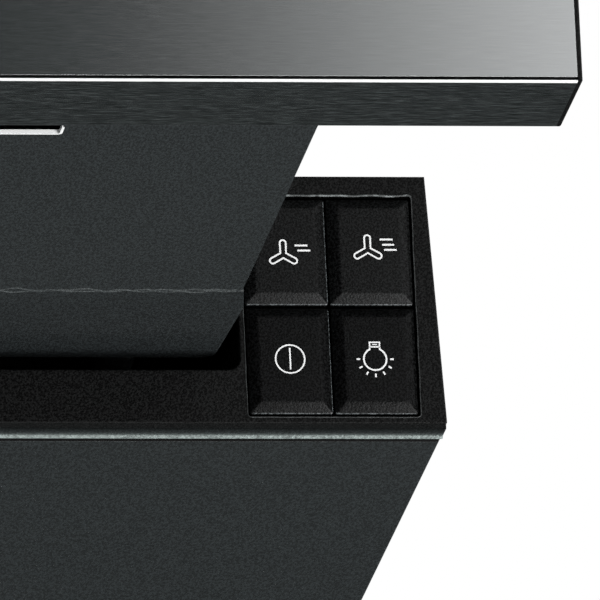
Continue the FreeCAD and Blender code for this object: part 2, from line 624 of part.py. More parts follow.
def control_board():
    """The circuit board behind the block, with its relays and connector."""
    y0 = BLOCK_BACK
    board = box(RECESS_X0, RECESS_X1 - 2, y0, y0 + 1.6, RECESS_Z0, RECESS_Z1)
    relays = [box(RECESS_X0 + 4 + 13 * i, RECESS_X0 + 14 + 13 * i, y0 + 1.6, y0 + 8, -30, -12)
              for i in range(2)]
    plug = box(RECESS_X0 + 6, RECESS_X0 + 28, y0 + 1.6, y0 + 7, -52, -44)
    return fused([board, plug] + relays)


KEYS = {"key_power": (0, 0), "key_lamp": (1, 0), "key_fan_slow": (0, 1), "key_fan_fast": (1, 1)}
for name, (column, row) in KEYS.items():
    write(name, [key(column, row)])
    write(name.replace("key", "spring"), [key_spring(column, row)])
write("switch_block", [switch_block()])
write("control_board", [control_board()])


# ---------------------------------------------------------------- filters and lamps
def filter_span(side):
    x0, x1 = sorted((side * (CENTRE_BAR / 2 + FILTER_GAP), side * (FILTER_HALF_X - FILTER_GAP)))
    return x0, x1, (x0 + x1) / 2


FILTER_Y0 = APERTURE_FRONT + FILTER_GAP
FILTER_Y1 = APERTURE_REAR - FILTER_GAP
FILTER_Z0 = BOTTOM + 0.5


def filter_frame(side):
    x0, x1, mid = filter_span(side)
    z1 = FILTER_Z0 + FILTER_H
    outer = rounded(box(x0, x1, FILTER_Y0, FILTER_Y1, FILTER_Z0, z1), 3, V(0, 0, 1))
    rim = FILTER_RIM
    window = box(x0 + rim, x1 - rim, FILTER_Y0 + rim, FILTER_Y1 - rim, FILTER_Z0 - 1, z1 + 1)
    pocket = box(mid - LATCH_W / 2 - 0.3, mid + LATCH_W / 2 + 0.3,
                 FILTER_Y0 - 1, FILTER_Y0 + 10.3, FILTER_Z0 - 1, BOTTOM + 6)
    tabs = [box(mid + dx - 10, mid + dx + 10, FILTER_Y1 - 2, FILTER_Y1 + 6,
                BOTTOM + 4.4, BOTTOM + 6)
            for dx in (-80, 80)]
    return outer.cut([window, pocket]).fuse(tabs).removeSplitter()


def filter_mesh(side):
    """Expanded metal: rows of diamond holes, every other row shifted by half a pitch."""
    x0, x1, mid = filter_span(side)
    rim = FILTER_RIM
    plate = box(x0 + rim, x1 - rim, FILTER_Y0 + rim, FILTER_Y1 - rim, FILTER_Z0 + 2, FILTER_Z0 + 4)
    pitch_x = 19.0
    pitch_y = 9.0
    rows = 20
    columns = 12
    middle_y = (FILTER_Y0 + FILTER_Y1) / 2
    holes = []
    for row in range(rows):
        y = middle_y + (row - (rows - 1) / 2) * pitch_y
        count = columns - row % 2
        for column in range(count):
            x = mid + (column - (count - 1) / 2) * pitch_x
            diamond = [(x - 8, y), (x, y - 6.5), (x + 8, y), (x, y + 6.5)]
            holes.append(prism_z(diamond, FILTER_Z0, FILTER_Z0 + 6))
    return plate.cut(holes)


def filter_latch(side):
    """A slider with a finger hollow and a tongue that holds the front of the filter."""
    x0, x1, mid = filter_span(side)
    y0 = FILTER_Y0 + 0.3
    body = box(mid - LATCH_W / 2, mid + LATCH_W / 2, y0, y0 + 5.2,
               FILTER_Z0 + 0.2, BOTTOM + 5.7)
    groove = rod_x(2.4, mid - 10, mid + 10, y0 + 2.6, FILTER_Z0 - 0.6)
    tongue = box(mid - 8, mid + 8, y0 - 5.8, y0, BOTTOM + 3, BOTTOM + 5)
    return fused([body.cut(groove), tongue])


def lamp_body(side):
    x = side * LAMP_X
    ring = rod_z(LAMP_R + 3, BOTTOM - 1.2, BOTTOM, x, LAMP_Y)
    ring = ring.makeFillet(0.6, [e for e in ring.Edges if len(e.Vertexes) == 1
                                 and e.CenterOfMass.z < BOTTOM - 1])
    cup = rod_z(LAMP_R, BOTTOM, BOTTOM + LAMP_DEPTH, x, LAMP_Y)
    inside = rod_z(LAMP_R - 2.5, BOTTOM - 2, BOTTOM + LAMP_DEPTH - 2, x, LAMP_Y)
    return ring.fuse(cup).cut(inside).removeSplitter()


def lamp_lens(side):
    x = side * LAMP_X
    lens = rod_z(LAMP_R - 2.5, BOTTOM - 1.0, BOTTOM + 1.5, x, LAMP_Y)
    return lens.makeFillet(0.5, [e for e in lens.Edges if len(e.Vertexes) == 1
                                 and e.CenterOfMass.z < BOTTOM])


for side, name in ((1, "right"), (-1, "left")):
    write("filter_frame_" + name, [filter_frame(side)])
    write("filter_mesh_" + name, [filter_mesh(side)])
    write("filter_latch_" + name, [filter_latch(side)])
write("lamp_bodies", [lamp_body(1), lamp_body(-1)])
write("lamp_lenses", [lamp_lens(1), lamp_lens(-1)])


# ---------------------------------------------------------------- upper housing and duct
GLAND_X = -106.0
GLAND_Y = 100.0
GLAND_BORE_R = 4.0
JUNCTION_DEPTH = 46.0


def upper_housing():
    """The sheet box round the fan, and the flat flange that is welded round its foot."""
    hx = HOUSING_HALF_X
    outer = box(-hx, hx, HOUSING_FRONT, HOUSING_REAR, 0, HOUSING_H)
    inner = box(-hx + SHEET, hx - SHEET, HOUSING_FRONT + SHEET, HOUSING_REAR - SHEET, -1, HOUSING_H - SHEET)
    upright = rounded(outer, 2.0, V(0, 0, 1)).cut(rounded(inner, 1.2, V(0, 0, 1)))
    f = HOUSING_FLANGE
    flange = box(-hx - f, hx + f, HOUSING_FRONT - f, HOUSING_REAR, 0, SHEET)
    footprint = rounded(box(-hx, hx, HOUSING_FRONT, HOUSING_REAR, -1, 5), 2.0, V(0, 0, 1))
    flange = rounded(flange, 4, V(0, 0, 1)).cut(footprint)
    outlet = rod_z(COLLAR_R - COLLAR_T - 3, HOUSING_H - 3, HOUSING_H + 3, 0, DUCT_Y)
    cable = rod_z(8.0, HOUSING_H - 4, HOUSING_H + 4, GLAND_X, GLAND_Y)
    flange = drilled(flange, housing_screws, (0, 0, 1), SCREW_HOLE_R, 5)
    return [upright.cut([outlet, cable]), flange]


def duct_collar():
    r = COLLAR_R
    inner_r = r - COLLAR_T
    z0 = HOUSING_H
    flange = rod_z(r + 7, z0, z0 + 1.2, 0, DUCT_Y)
    tube = rod_z(r, z0, z0 + COLLAR_H, 0, DUCT_Y)
    ring = fused([flange, tube]).cut(rod_z(inner_r, z0 - 1, z0 + COLLAR_H + 1, 0, DUCT_Y))
    seat = rod_z(inner_r, FLAP_Z - 3.5, FLAP_Z - 0.7, 0, DUCT_Y)
    seat = seat.cut(rod_z(inner_r - 3, FLAP_Z - 5, FLAP_Z + 1, 0, DUCT_Y))
    pins = [rod_x(PIN_R, -r - 2, r + 2, DUCT_Y + s * FLAP_AXIS, FLAP_Z) for s in (-1, 1)]
    return fused([ring, seat]).cut(pins)


def flap_pins():
    return [rod_x(PIN_R, -COLLAR_R + 0.6, COLLAR_R - 0.6, DUCT_Y + s * FLAP_AXIS, FLAP_Z)
            for s in (-1, 1)]


def damper_flap(side):
    """Half a disc with a tube along its straight edge, which turns on a pin."""
    axis_y = DUCT_Y + side * FLAP_AXIS
    disc = rod_z(COLLAR_R - COLLAR_T - 0.8, FLAP_Z - 0.6, FLAP_Z + 0.4, 0, DUCT_Y)
    y0, y1 = sorted((axis_y + side * 1.0, axis_y + side * 100))
    half = disc.common(box(-100, 100, y0, y1, FLAP_Z - 5, FLAP_Z + 5))
    tube = rod_x(2.8, -68, 68, axis_y, FLAP_Z)
    bore = rod_x(PIN_R + PIN_CLEARANCE, -80, 80, axis_y, FLAP_Z)
    return fused([half, tube]).cut(bore)


def outlet_adapter():
    """The duct between the scroll's rectangular outlet and the round hole of the housing."""
    z0 = SCROLL_TOP
    z1 = HOUSING_H - SHEET

    def loft(grow, z_low, z_high):
        hx = SCROLL_HALF_X - SCROLL_T + grow
        y0 = OUTLET_Y0 - grow
        y1 = OUTLET_Y1 + grow
        r = COLLAR_R - COLLAR_T - 3 + grow
        corners = [V(hx, y0, z_low), V(hx, y1, z_low), V(-hx, y1, z_low), V(-hx, y0, z_low)]
        low = Part.makePolygon(corners + corners[:1])
        angles = [-45, 45, 135, 225]
        arcs = []
        for a in angles:
            p = [V(r * math.cos(math.radians(a + t)), DUCT_Y + r * math.sin(math.radians(a + t)), z_high)
                 for t in (0, 45, 90)]
            arcs.append(Part.Arc(*p).toShape())
        return Part.makeLoft([low, Part.Wire(arcs)], True, True)

    return loft(SCROLL_T, z0, z1).cut(loft(0, z0, z1))


write("upper_housing", upper_housing())
write("housing_screws", [pan_screw(x, y, z, (0, 0, -1), 5.0) for x, y, z in housing_screws])
write("outlet_adapter", [outlet_adapter()])
write("duct_collar", [duct_collar()])
write("flap_pins", flap_pins())
write("flap_front", [damper_flap(-1)])
write("flap_rear", [damper_flap(1)])


# ---------------------------------------------------------------- fan
def scroll_block(grow, x0, x1, top):
    """The filled scroll: a growing spiral round the wheel, then a straight outlet going up."""
    start = CUT_OFF
    if grow:
        start = math.degrees(math.acos((OUTLET_Y0 - FAN_Y - grow) / (SCROLL_START_R + grow)))
    points = []
    steps = 14
    for i in range(steps + 1):
        angle = start + (360 - start) * i / steps
        r = SCROLL_START_R + (SCROLL_END_R - SCROLL_START_R) * (angle - start) / (360 - start) + grow
        a = math.radians(angle)
        points.append(V(x0, FAN_Y + r * math.cos(a), FAN_Z + r * math.sin(a)))
    curve = Part.BSplineCurve()
    curve.interpolate(points)
    y1 = OUTLET_Y1 + grow
    y0 = points[0].y
    rest = Part.makePolygon([points[-1], V(x0, y1, top), V(x0, y0, top), points[0]])
    outline = Part.Wire([curve.toShape()] + rest.Edges)
    return Part.Face(outline).extrude(V(x1 - x0, 0, 0))


def scroll_casing():
    s = SCROLL_HALF_X
    t = SCROLL_T
    outer = scroll_block(t, -s + t, s, SCROLL_TOP)
    inner = scroll_block(0, -s, s - t, SCROLL_TOP + 5)
    inlet = rod_x(WHEEL_BORE_R - 1, 0, s + 5, FAN_Y, FAN_Z)
    return outer.cut([inner, inlet])


def motor_plate():
    s = SCROLL_HALF_X
    plate = scroll_block(SCROLL_T, -s, -s + SCROLL_T, SCROLL_TOP)
    return plate.cut(rod_x(16, -s - 5, 0, FAN_Y, FAN_Z))


def inlet_ring():
    """Bell mouth on the open side of the scroll."""
    x = SCROLL_HALF_X
    ring = rod_x(WHEEL_BORE_R + 8, x, x + 8, FAN_Y, FAN_Z)
    ring = ring.makeFillet(5, [e for e in ring.Edges if len(e.Vertexes) == 1
                               and e.CenterOfMass.x > x + 5])
    cone = Part.makeCone(WHEEL_BORE_R - 4, WHEEL_BORE_R + 3, 12, V(x - 4, FAN_Y, FAN_Z), V(1, 0, 0))
    return ring.cut(cone)


def impeller():
    x0 = -48.0
    x1 = 46.0
    back = rod_x(WHEEL_R, x0, x0 + 1.5, FAN_Y, FAN_Z)
    rim = rod_x(WHEEL_R, x1 - 2.5, x1, FAN_Y, FAN_Z).cut(rod_x(WHEEL_BORE_R, x1 - 5, x1 + 1, FAN_Y, FAN_Z))
    hub = rod_x(12, x0, x0 + 18, FAN_Y, FAN_Z)
    pieces = [back, rim, hub]
    for i in range(BLADES):
        blade = Part.makeBox(x1 - x0 - 3, 12.4, 0.9, V(x0 + 1, WHEEL_BORE_R - 0.6, -0.45))
        blade.rotate(V(0, WHEEL_BORE_R + 6, 0), V(1, 0, 0), 32)
        blade.translate(V(0, 0, -2.6))
        blade.rotate(V(0, 0, 0), V(1, 0, 0), 360.0 * i / BLADES)
        blade.translate(V(0, FAN_Y, FAN_Z))
        pieces.append(blade)
    envelope = rod_x(WHEEL_R, x0, x1, FAN_Y, FAN_Z)
    return fused(pieces).common(envelope).cut(rod_x(SHAFT_R, x0 - 5, 0, FAN_Y, FAN_Z))


def motor():
    can = rod_x(MOTOR_R, -126, -64, FAN_Y, FAN_Z)
    can = can.makeFillet(4, [e for e in can.Edges if len(e.Vertexes) == 1])
    flange = rod_x(50, -67, -64, FAN_Y, FAN_Z)
    nose = rod_x(11, -64, -60, FAN_Y, FAN_Z)
    tail = rod_x(13, -132, -126, FAN_Y, FAN_Z)
    vents = []
    for i in range(12):
        vent = box(-118, -82, -2, 2, MOTOR_R - 2, MOTOR_R + 2)
        vent.rotate(V(0, 0, 0), V(1, 0, 0), 30.0 * i)
        vent.translate(V(0, FAN_Y, FAN_Z))
        vents.append(vent)
    bore = rod_x(SHAFT_R + SHAFT_CLEARANCE, -140, -50, FAN_Y, FAN_Z)
    return fused([can, flange, nose, tail]).cut(vents + [bore])


def motor_mounts():
    """Three rubber posts between the motor's flange and the plate."""
    posts = []
    for i in range(3):
        a = math.radians(90 + 120 * i)
        posts.append(rod_x(3.5, -64, -SCROLL_HALF_X, FAN_Y + 46 * math.cos(a), FAN_Z + 46 * math.sin(a)))
    return posts


def shaft_nut():
    corners = []
    for i in range(6):
        a = math.radians(60 * i)
        corners.append((FAN_Y + 7.5 * math.cos(a), FAN_Z + 7.5 * math.sin(a)))
    return prism_x(corners, -30, -24).cut(rod_x(SHAFT_R, -40, -20, FAN_Y, FAN_Z))


write("scroll_casing", [scroll_casing()])
write("motor_plate", [motor_plate()])
write("inlet_ring", [inlet_ring()])
write("impeller", [impeller()])
write("fan_shaft", [rod_x(SHAFT_R, -131, -22, FAN_Y, FAN_Z)])
write("shaft_nut", [shaft_nut()])
write("motor", [motor()])
write("motor_mounts", motor_mounts())


# ---------------------------------------------------------------- wiring
JUNCTION_TOP = HOUSING_H - SHEET
JUNCTION_LOW = JUNCTION_TOP - JUNCTION_DEPTH


def junction_outline(z0, z1):
    return rounded(box(-134, -78, 70, HOUSING_REAR - SHEET - 1, z0, z1), 2, V(0, 0, 1))


def junction_box():
    """Plastic box under the top of the housing, open below, where its cover goes."""
    wall = 2.0
    inner = box(-134 + wall, -78 - wall, 70 + wall, HOUSING_REAR - SHEET - 1 - wall,
                JUNCTION_LOW - 1, JUNCTION_TOP - wall)
    entry = rod_z(8.0, JUNCTION_TOP - 10, JUNCTION_TOP + 1, GLAND_X, GLAND_Y)
    return junction_outline(JUNCTION_LOW, JUNCTION_TOP).cut([inner, entry])


def cable_gland():
    """A nipple through the top of the housing, its six-sided body and its domed nut, bored through."""
    corners = [(GLAND_X + 11 * math.cos(math.radians(60 * i)), GLAND_Y + 11 * math.sin(math.radians(60 * i)))
               for i in range(6)]
    body = prism_z(corners, HOUSING_H, HOUSING_H + 5)
    nipple = rod_z(7.9, HOUSING_H - 9, HOUSING_H + 1, GLAND_X, GLAND_Y)
    dome = rod_z(8.5, HOUSING_H + 5, HOUSING_H + 14, GLAND_X, GLAND_Y)
    dome = dome.makeFillet(3, [e for e in dome.Edges if len(e.Vertexes) == 1
                               and e.CenterOfMass.z > HOUSING_H + 10])
    bore = rod_z(GLAND_BORE_R, HOUSING_H - 20, HOUSING_H + 20, GLAND_X, GLAND_Y)
    return fused([nipple, body, dome]).cut(bore)


def capacitor():
    x0 = -HOUSING_HALF_X + SHEET
    can = rod_x(15, x0, x0 + 48, -82, 24)
    return can.makeFillet(2, [e for e in can.Edges if len(e.Vertexes) == 1 and e.CenterOfMass.x > x0 + 10])


write("junction_box", [junction_box()])
write("junction_cover", [junction_outline(JUNCTION_LOW - 2, JUNCTION_LOW)])
write("cable_gland", [cable_gland()])
write("capacitor", [capacitor()])
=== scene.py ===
import json
import math

import bmesh
import bpy
from mathutils import Matrix, Vector, noise


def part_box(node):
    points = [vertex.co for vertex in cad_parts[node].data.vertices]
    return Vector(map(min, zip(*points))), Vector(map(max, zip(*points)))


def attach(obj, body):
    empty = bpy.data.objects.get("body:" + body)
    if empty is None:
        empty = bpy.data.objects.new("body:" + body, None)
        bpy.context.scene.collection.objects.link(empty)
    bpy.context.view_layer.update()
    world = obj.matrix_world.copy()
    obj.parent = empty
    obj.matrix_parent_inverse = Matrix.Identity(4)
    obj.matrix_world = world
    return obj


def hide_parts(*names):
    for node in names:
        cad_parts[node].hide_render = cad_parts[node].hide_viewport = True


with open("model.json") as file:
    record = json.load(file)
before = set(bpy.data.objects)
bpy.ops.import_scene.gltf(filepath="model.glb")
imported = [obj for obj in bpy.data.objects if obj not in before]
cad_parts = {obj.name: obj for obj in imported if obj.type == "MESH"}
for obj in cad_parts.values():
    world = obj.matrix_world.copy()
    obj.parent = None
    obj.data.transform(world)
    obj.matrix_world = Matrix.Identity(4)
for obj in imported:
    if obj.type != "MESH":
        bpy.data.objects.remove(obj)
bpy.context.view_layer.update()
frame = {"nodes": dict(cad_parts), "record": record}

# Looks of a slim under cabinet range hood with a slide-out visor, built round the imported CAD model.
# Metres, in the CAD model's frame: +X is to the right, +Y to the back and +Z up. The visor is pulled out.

MM = 0.001
scene = bpy.context.scene


# ------------------------------------------------------------------ camera, background and lights
CAMERA_AT = (-0.5747, -5.8531, -1.9121)
CAMERA_TURN = 9.167          # degrees to the right of straight at the front
CAMERA_LIFT = 18.015         # degrees upwards
CAMERA_ROLL = -2.719
CAMERA_SENSOR = 36.0         # mm
CAMERA_LENS = 1551.2         # mm


def add_camera():
    """Seen from below and a little to the left, from far away with a long lens."""
    turn = math.radians(CAMERA_TURN)
    lift = math.radians(CAMERA_LIFT)
    roll = math.radians(CAMERA_ROLL)
    ahead = Vector((math.sin(turn) * math.cos(lift), math.cos(turn) * math.cos(lift), math.sin(lift)))
    level = Vector((math.cos(turn), -math.sin(turn), 0))
    above = level.cross(ahead)
    right = level * math.cos(roll) + above * math.sin(roll)
    up = above * math.cos(roll) - level * math.sin(roll)
    data = bpy.data.cameras.new("camera")
    data.sensor_width = CAMERA_SENSOR
    data.lens = CAMERA_LENS
    data.clip_start = 0.5
    data.clip_end = 100.0
    camera = bpy.data.objects.new("camera", data)
    camera.matrix_world = Matrix((
        (right.x, up.x, -ahead.x, CAMERA_AT[0]),
        (right.y, up.y, -ahead.y, CAMERA_AT[1]),
        (right.z, up.z, -ahead.z, CAMERA_AT[2]),
        (0, 0, 0, 1)))
    scene.collection.objects.link(camera)
    scene.camera = camera


def add_light(name, at, towards, width, height, radiance):
    """A white, rectangular, soft light with the given radiance."""
    data = bpy.data.lights.new(name, "AREA")
    data.shape = "RECTANGLE"
    data.size = width
    data.size_y = height
    data.energy = radiance * math.pi * width * height
    light = bpy.data.objects.new(name, data)
    light.location = at
    light.rotation_euler = (Vector(towards) - Vector(at)).to_track_quat("-Z", "Y").to_euler()
    light.visible_camera = False
    scene.collection.objects.link(light)
    return light


FADE_CURVE = 1.5


def fade_in(light, share, strength):
    """Lets a light's strength grow from nothing at its left side to full over a share of its width."""
    light.data.use_nodes = True
    tree = light.data.node_tree
    across = tree.nodes.new("ShaderNodeSeparateXYZ")
    tree.links.new(tree.nodes.new("ShaderNodeNewGeometry").outputs["Parametric"], across.inputs[0])
    grow = tree.nodes.new("ShaderNodeMath")
    grow.operation = "DIVIDE"
    grow.use_clamp = True
    tree.links.new(across.outputs["X"], grow.inputs[0])
    grow.inputs[1].default_value = share
    curve = tree.nodes.new("ShaderNodeMath")
    curve.operation = "POWER"
    tree.links.new(grow.outputs[0], curve.inputs[0])
    curve.inputs[1].default_value = FADE_CURVE
    full = tree.nodes.new("ShaderNodeMath")
    full.operation = "MULTIPLY"
    tree.links.new(curve.outputs[0], full.inputs[0])
    full.inputs[1].default_value = strength
    tree.links.new(full.outputs[0], tree.nodes["Emission"].inputs["Strength"])


AMBIENT_COLOUR = (0.88, 1.0, 1.0, 1)
AMBIENT_STRENGTH = 0.066


def add_world():
    """White behind the object, and a low even light on it."""
    world = bpy.data.worlds.new("studio")
    world.use_nodes = True
    tree = world.node_tree
    tree.nodes.clear()
    out = tree.nodes.new("ShaderNodeOutputWorld")
    mix = tree.nodes.new("ShaderNodeMixShader")
    path = tree.nodes.new("ShaderNodeLightPath")
    ambient = tree.nodes.new("ShaderNodeBackground")
    ambient.inputs["Color"].default_value = AMBIENT_COLOUR
    ambient.inputs["Strength"].default_value = AMBIENT_STRENGTH
    white = tree.nodes.new("ShaderNodeBackground")
    white.inputs["Color"].default_value = (1, 1, 1, 1)
    white.inputs["Strength"].default_value = 1.0
    tree.links.new(path.outputs["Is Camera Ray"], mix.inputs["Fac"])
    tree.links.new(ambient.outputs[0], mix.inputs[1])
    tree.links.new(white.outputs[0], mix.inputs[2])
    tree.links.new(mix.outputs[0], out.inputs["Surface"])
    scene.world = world


FLOOR_RADIUS = 2.2
FLOOR_Z = -2.1


def add_floor():
    """A plain round floor, far enough down to stay out of the camera's view."""
    mesh = bpy.data.meshes.new("floor")
    bm = bmesh.new()
    bmesh.ops.create_circle(bm, cap_ends=True, radius=FLOOR_RADIUS, segments=96)
    bm.to_mesh(mesh)
    bm.free()
    floor = bpy.data.objects.new("floor", mesh)
    floor.location = (0.0, 0.0, FLOOR_Z)
    scene.collection.objects.link(floor)
    return floor


add_camera()
add_world()
floor = add_floor()
scene.view_settings.view_transform = "Standard"
scene.view_settings.look = "None"
LIT_MIDDLE = (0.2, -0.2, -0.04)
RIGHT_CORNER = (0.36, -0.14, 0)
CENTRE = (0, 0, 0)
add_light("key_right_below", (1.5, -1.3, -1.2), LIT_MIDDLE, 1.2, 1.2, 14.0)
add_light("fill_below", (0.62, -1.3, -1.2), LIT_MIDDLE, 0.4, 0.5, 2.5)
panel = add_light("right_panel", (0.95, -0.9, 0.35), (0.95, 0.0, 0.35), 1.2, 0.9, 1.0)
fade_in(panel, 0.125, 1.42)
add_light("above_behind", (0.0, 1.5, 2.2), CENTRE, 2.4, 1.8, 4.5)
add_light("behind_left", (-2.3, 2.1, 0.9), CENTRE, 1.6, 1.6, 1.8)
add_light("behind_right", (2.5, 1.9, 0.9), CENTRE, 1.2, 1.2, 4.0)
add_light("low_panel_left", (-2.4, -2.5, -1.35), (0.1, -0.3, 0), 2.4, 1.3, 0.42)
add_light("low_panel_front", (0.0, -3.6, -0.62), (0, -0.3, -0.1), 3.4, 0.7, 0.2)
add_light("straight_below", (0.68, -0.78, -1.9), RIGHT_CORNER, 0.45, 0.45, 5.0)
add_light("far_right", (3.0, 0.1, 0.8), RIGHT_CORNER, 1.0, 1.0, 5.0)


# ------------------------------------------------------------------ materials
class Shade:
    """A material under construction: short calls that add and link its nodes."""

    def __init__(self, name, colour, rough, metal=0.0, **constants):
        self.material = bpy.data.materials.new(name)
        self.material.use_nodes = True
        self.tree = self.material.node_tree
        self.shader = self.tree.nodes["Principled BSDF"]
        self.shader.inputs["Base Color"].default_value = (*colour, 1)
        self.shader.inputs["Roughness"].default_value = rough
        self.shader.inputs["Metallic"].default_value = metal
        for socket, value in constants.items():
            self.shader.inputs[socket.replace("_", " ")].default_value = value
        self.where = self.node("ShaderNodeTexCoord").outputs["Object"]
        self.normal = None

    def node(self, kind, **settings):
        made = self.tree.nodes.new(kind)
        for name, value in settings.items():
            setattr(made, name, value)
        return made

    def link(self, source, target):
        if hasattr(source, "is_linked"):
            self.tree.links.new(source, target)
        else:
            target.default_value = source

    def stretched(self, scale):
        """Object coordinates times a scale for each axis."""
        made = self.node("ShaderNodeMapping")
        made.inputs["Scale"].default_value = scale
        self.link(self.where, made.inputs["Vector"])
        return made.outputs["Vector"]

    def noise(self, scale, detail=4.0, rough=0.55, distortion=0.0, at=None):
        made = self.node("ShaderNodeTexNoise")
        made.inputs["Scale"].default_value = scale
        made.inputs["Detail"].default_value = detail
        made.inputs["Roughness"].default_value = rough
        made.inputs["Distortion"].default_value = distortion
        self.link(at or self.where, made.inputs["Vector"])
        return made.outputs["Fac"]

    def ramp(self, value, *stops):
        """Each stop is (position, grey) or (position, (r, g, b))."""
        made = self.node("ShaderNodeValToRGB")
        elements = made.color_ramp.elements
        while len(elements) < len(stops):
            elements.new(0.5)
        for element, (position, grey) in zip(elements, stops):
            element.position = position
            element.color = (*grey, 1) if isinstance(grey, tuple) else (grey, grey, grey, 1)
        self.link(value, made.inputs["Fac"])
        return made.outputs["Color"]

    def math(self, operation, a, b=0.0, c=0.0):
        made = self.node("ShaderNodeMath", operation=operation)
        for socket, value in zip(made.inputs, (a, b, c)):
            self.link(value, socket)
        return made.outputs[0]

    def mix(self, share, a, b, blend="MIX"):
        made = self.node("ShaderNodeMix", data_type="RGBA", blend_type=blend)
        self.link(share, made.inputs[0])
        for socket, value in ((made.inputs[6], a), (made.inputs[7], b)):
            self.link((*value, 1) if isinstance(value, tuple) and len(value) == 3 else value, socket)
        return made.outputs[2]

    def bump(self, height, distance, strength=1.0):
        made = self.node("ShaderNodeBump")
        made.inputs["Distance"].default_value = distance
        made.inputs["Strength"].default_value = strength
        self.link(height, made.inputs["Height"])
        if self.normal:
            self.link(self.normal, made.inputs["Normal"])
        self.normal = made.outputs["Normal"]

    def soft_edges(self, radius):
        """Rounds the shading of sharp edges and returns a mask of where they are."""
        made = self.node("ShaderNodeBevel", samples=4)
        made.inputs["Radius"].default_value = radius
        true = self.node("ShaderNodeNewGeometry").outputs["Normal"]
        dot = self.node("ShaderNodeVectorMath", operation="DOT_PRODUCT")
        self.link(made.outputs["Normal"], dot.inputs[0])
        self.link(true, dot.inputs[1])
        self.normal = made.outputs["Normal"]
        return self.ramp(self.math("SUBTRACT", 1.0, dot.outputs["Value"]), (0.02, 0.0), (0.25, 1.0))

    def done(self, colour=None, rough=None):
        if colour is not None:
            self.link(colour, self.shader.inputs["Base Color"])
        if rough is not None:
            self.link(rough, self.shader.inputs["Roughness"])
        if self.normal:
            self.link(self.normal, self.shader.inputs["Normal"])
        return self.material


def scaled(colour, factor):
    return tuple(c * factor for c in colour)


def hem_painted_highlight_and_shade(s, base, hem_highlight_below):
    """Paints shade on the sheet where it goes in behind the front, and a speckled painted highlight along its
    rolled hem.
    """
    place = s.node("ShaderNodeSeparateXYZ")
    s.link(s.where, place.inputs[0])
    behind = s.math("SUBTRACT", place.outputs["Y"], BEHIND_FRONT)
    low = s.math("LESS_THAN", place.outputs["Z"], hem_highlight_below)
    nearer = s.math("MULTIPLY", s.math("SUBTRACT", behind, HEM_FROM), 1.0 / HEM_FADE)
    at_hem = s.math("LESS_THAN", place.outputs["Y"], BEHIND_FRONT + HEM_TO)
    # painted shade: the sheet is darkened, and its sheen lowered, where it tucks in behind the front
    tuck_shade = s.ramp(s.math("MULTIPLY", behind, 1.0 / TUCK_FADE), (0.0, 0.12), (0.8, 1.0))
    base = s.mix(1.0, base, tuck_shade, "MULTIPLY")
    s.link(s.math("MULTIPLY", tuck_shade, 0.5), s.shader.inputs["Specular IOR Level"])
    # painted highlight: a speckled light grey along the lower side of the rolled hem
    hem_highlight = s.ramp(s.noise(1500.0, 3.0, 0.8), (0.38, (0.09, 0.108, 0.104)), (0.62, (0.34, 0.40, 0.385)))
    share = s.math("MULTIPLY", low, s.ramp(nearer, (0.0, 0.0), (0.5, 0.16), (1.0, 1.0)))
    return s.mix(s.math("MULTIPLY", share, at_hem), base, hem_highlight)


def paint(name, colour, rough=0.45, grain=1900.0, depth=0.00012, contrast=0.55, hem_highlight_below=None):
    """Powder-coated sheet: fine grain, slow variation, and edges painted lighter as a painted highlight."""
    s = Shade(name, colour, rough, IOR=1.45)
    edge = s.soft_edges(0.0004)
    fine = s.noise(grain, 1.0, 0.6, 0.0, s.stretched((1.0, 0.4, 1.0)))
    cloud = s.noise(6.0, 3.0)
    base = s.mix(s.ramp(fine, (0.40, 0.0), (0.60, 1.0)), scaled(colour, 1 - contrast),
                 scaled(colour, 1 + contrast))
    base = s.mix(s.math("MULTIPLY", cloud, 0.35), base, scaled(colour, 0.85))
    # painted highlight: the edges are mixed towards a lighter grey
    base = s.mix(s.math("MULTIPLY", edge, 0.25), base, scaled(colour, 2.6))
    # painted highlight on the rolled hem and painted shade behind the front
    if hem_highlight_below:
        base = hem_painted_highlight_and_shade(s, base, hem_highlight_below)
    s.bump(fine, depth)
    return s.done(base, s.ramp(cloud, (0.3, rough - 0.04), (0.7, rough + 0.06)))


def plastic(name, colour, rough=0.4, grain=1900.0, depth=0.00001, edge_highlight=(0.3, 1.8), contrast=0.4,
            gloss=0.5):
    """Moulded plastic with a fine spark-eroded grain. edge_highlight is how much and how light the edges are
    painted, as a painted highlight.
    """
    s = Shade(name, colour, rough, IOR=1.46, Specular_IOR_Level=gloss)
    edge = s.soft_edges(0.00025)
    fine = s.noise(grain, 1.0, 0.6)
    cloud = s.noise(25.0, 3.0)
    base = s.mix(s.ramp(fine, (0.42, 0.0), (0.60, 1.0)), scaled(colour, 1 - contrast),
                 scaled(colour, 1 + contrast))
    # painted highlight: the edges are mixed towards a lighter colour
    share, factor = edge_highlight
    base = s.mix(s.math("MULTIPLY", edge, share), base, scaled(colour, factor))
    s.bump(fine, depth)
    return s.done(base, s.ramp(cloud, (0.3, rough - 0.05), (0.7, rough + 0.05)))


def groove_painted_shade(s, base):
    """Paints shade, nearly black, into the narrow groove between the bar's front face and the bright strip
    under it.
    """
    place = s.node("ShaderNodeSeparateXYZ")
    s.link(s.where, place.inputs[0])
    strip_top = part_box("bar_edge_strip")[1][2]
    near = s.math("COMPARE", place.outputs["Z"], strip_top + 0.33 * MM, 0.36 * MM)
    front = s.math("LESS_THAN", place.outputs["Y"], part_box("bar_sheet")[0][1] + 2.5 * MM)
    return s.mix(s.math("MULTIPLY", near, front), base, (0.004, 0.005, 0.005))


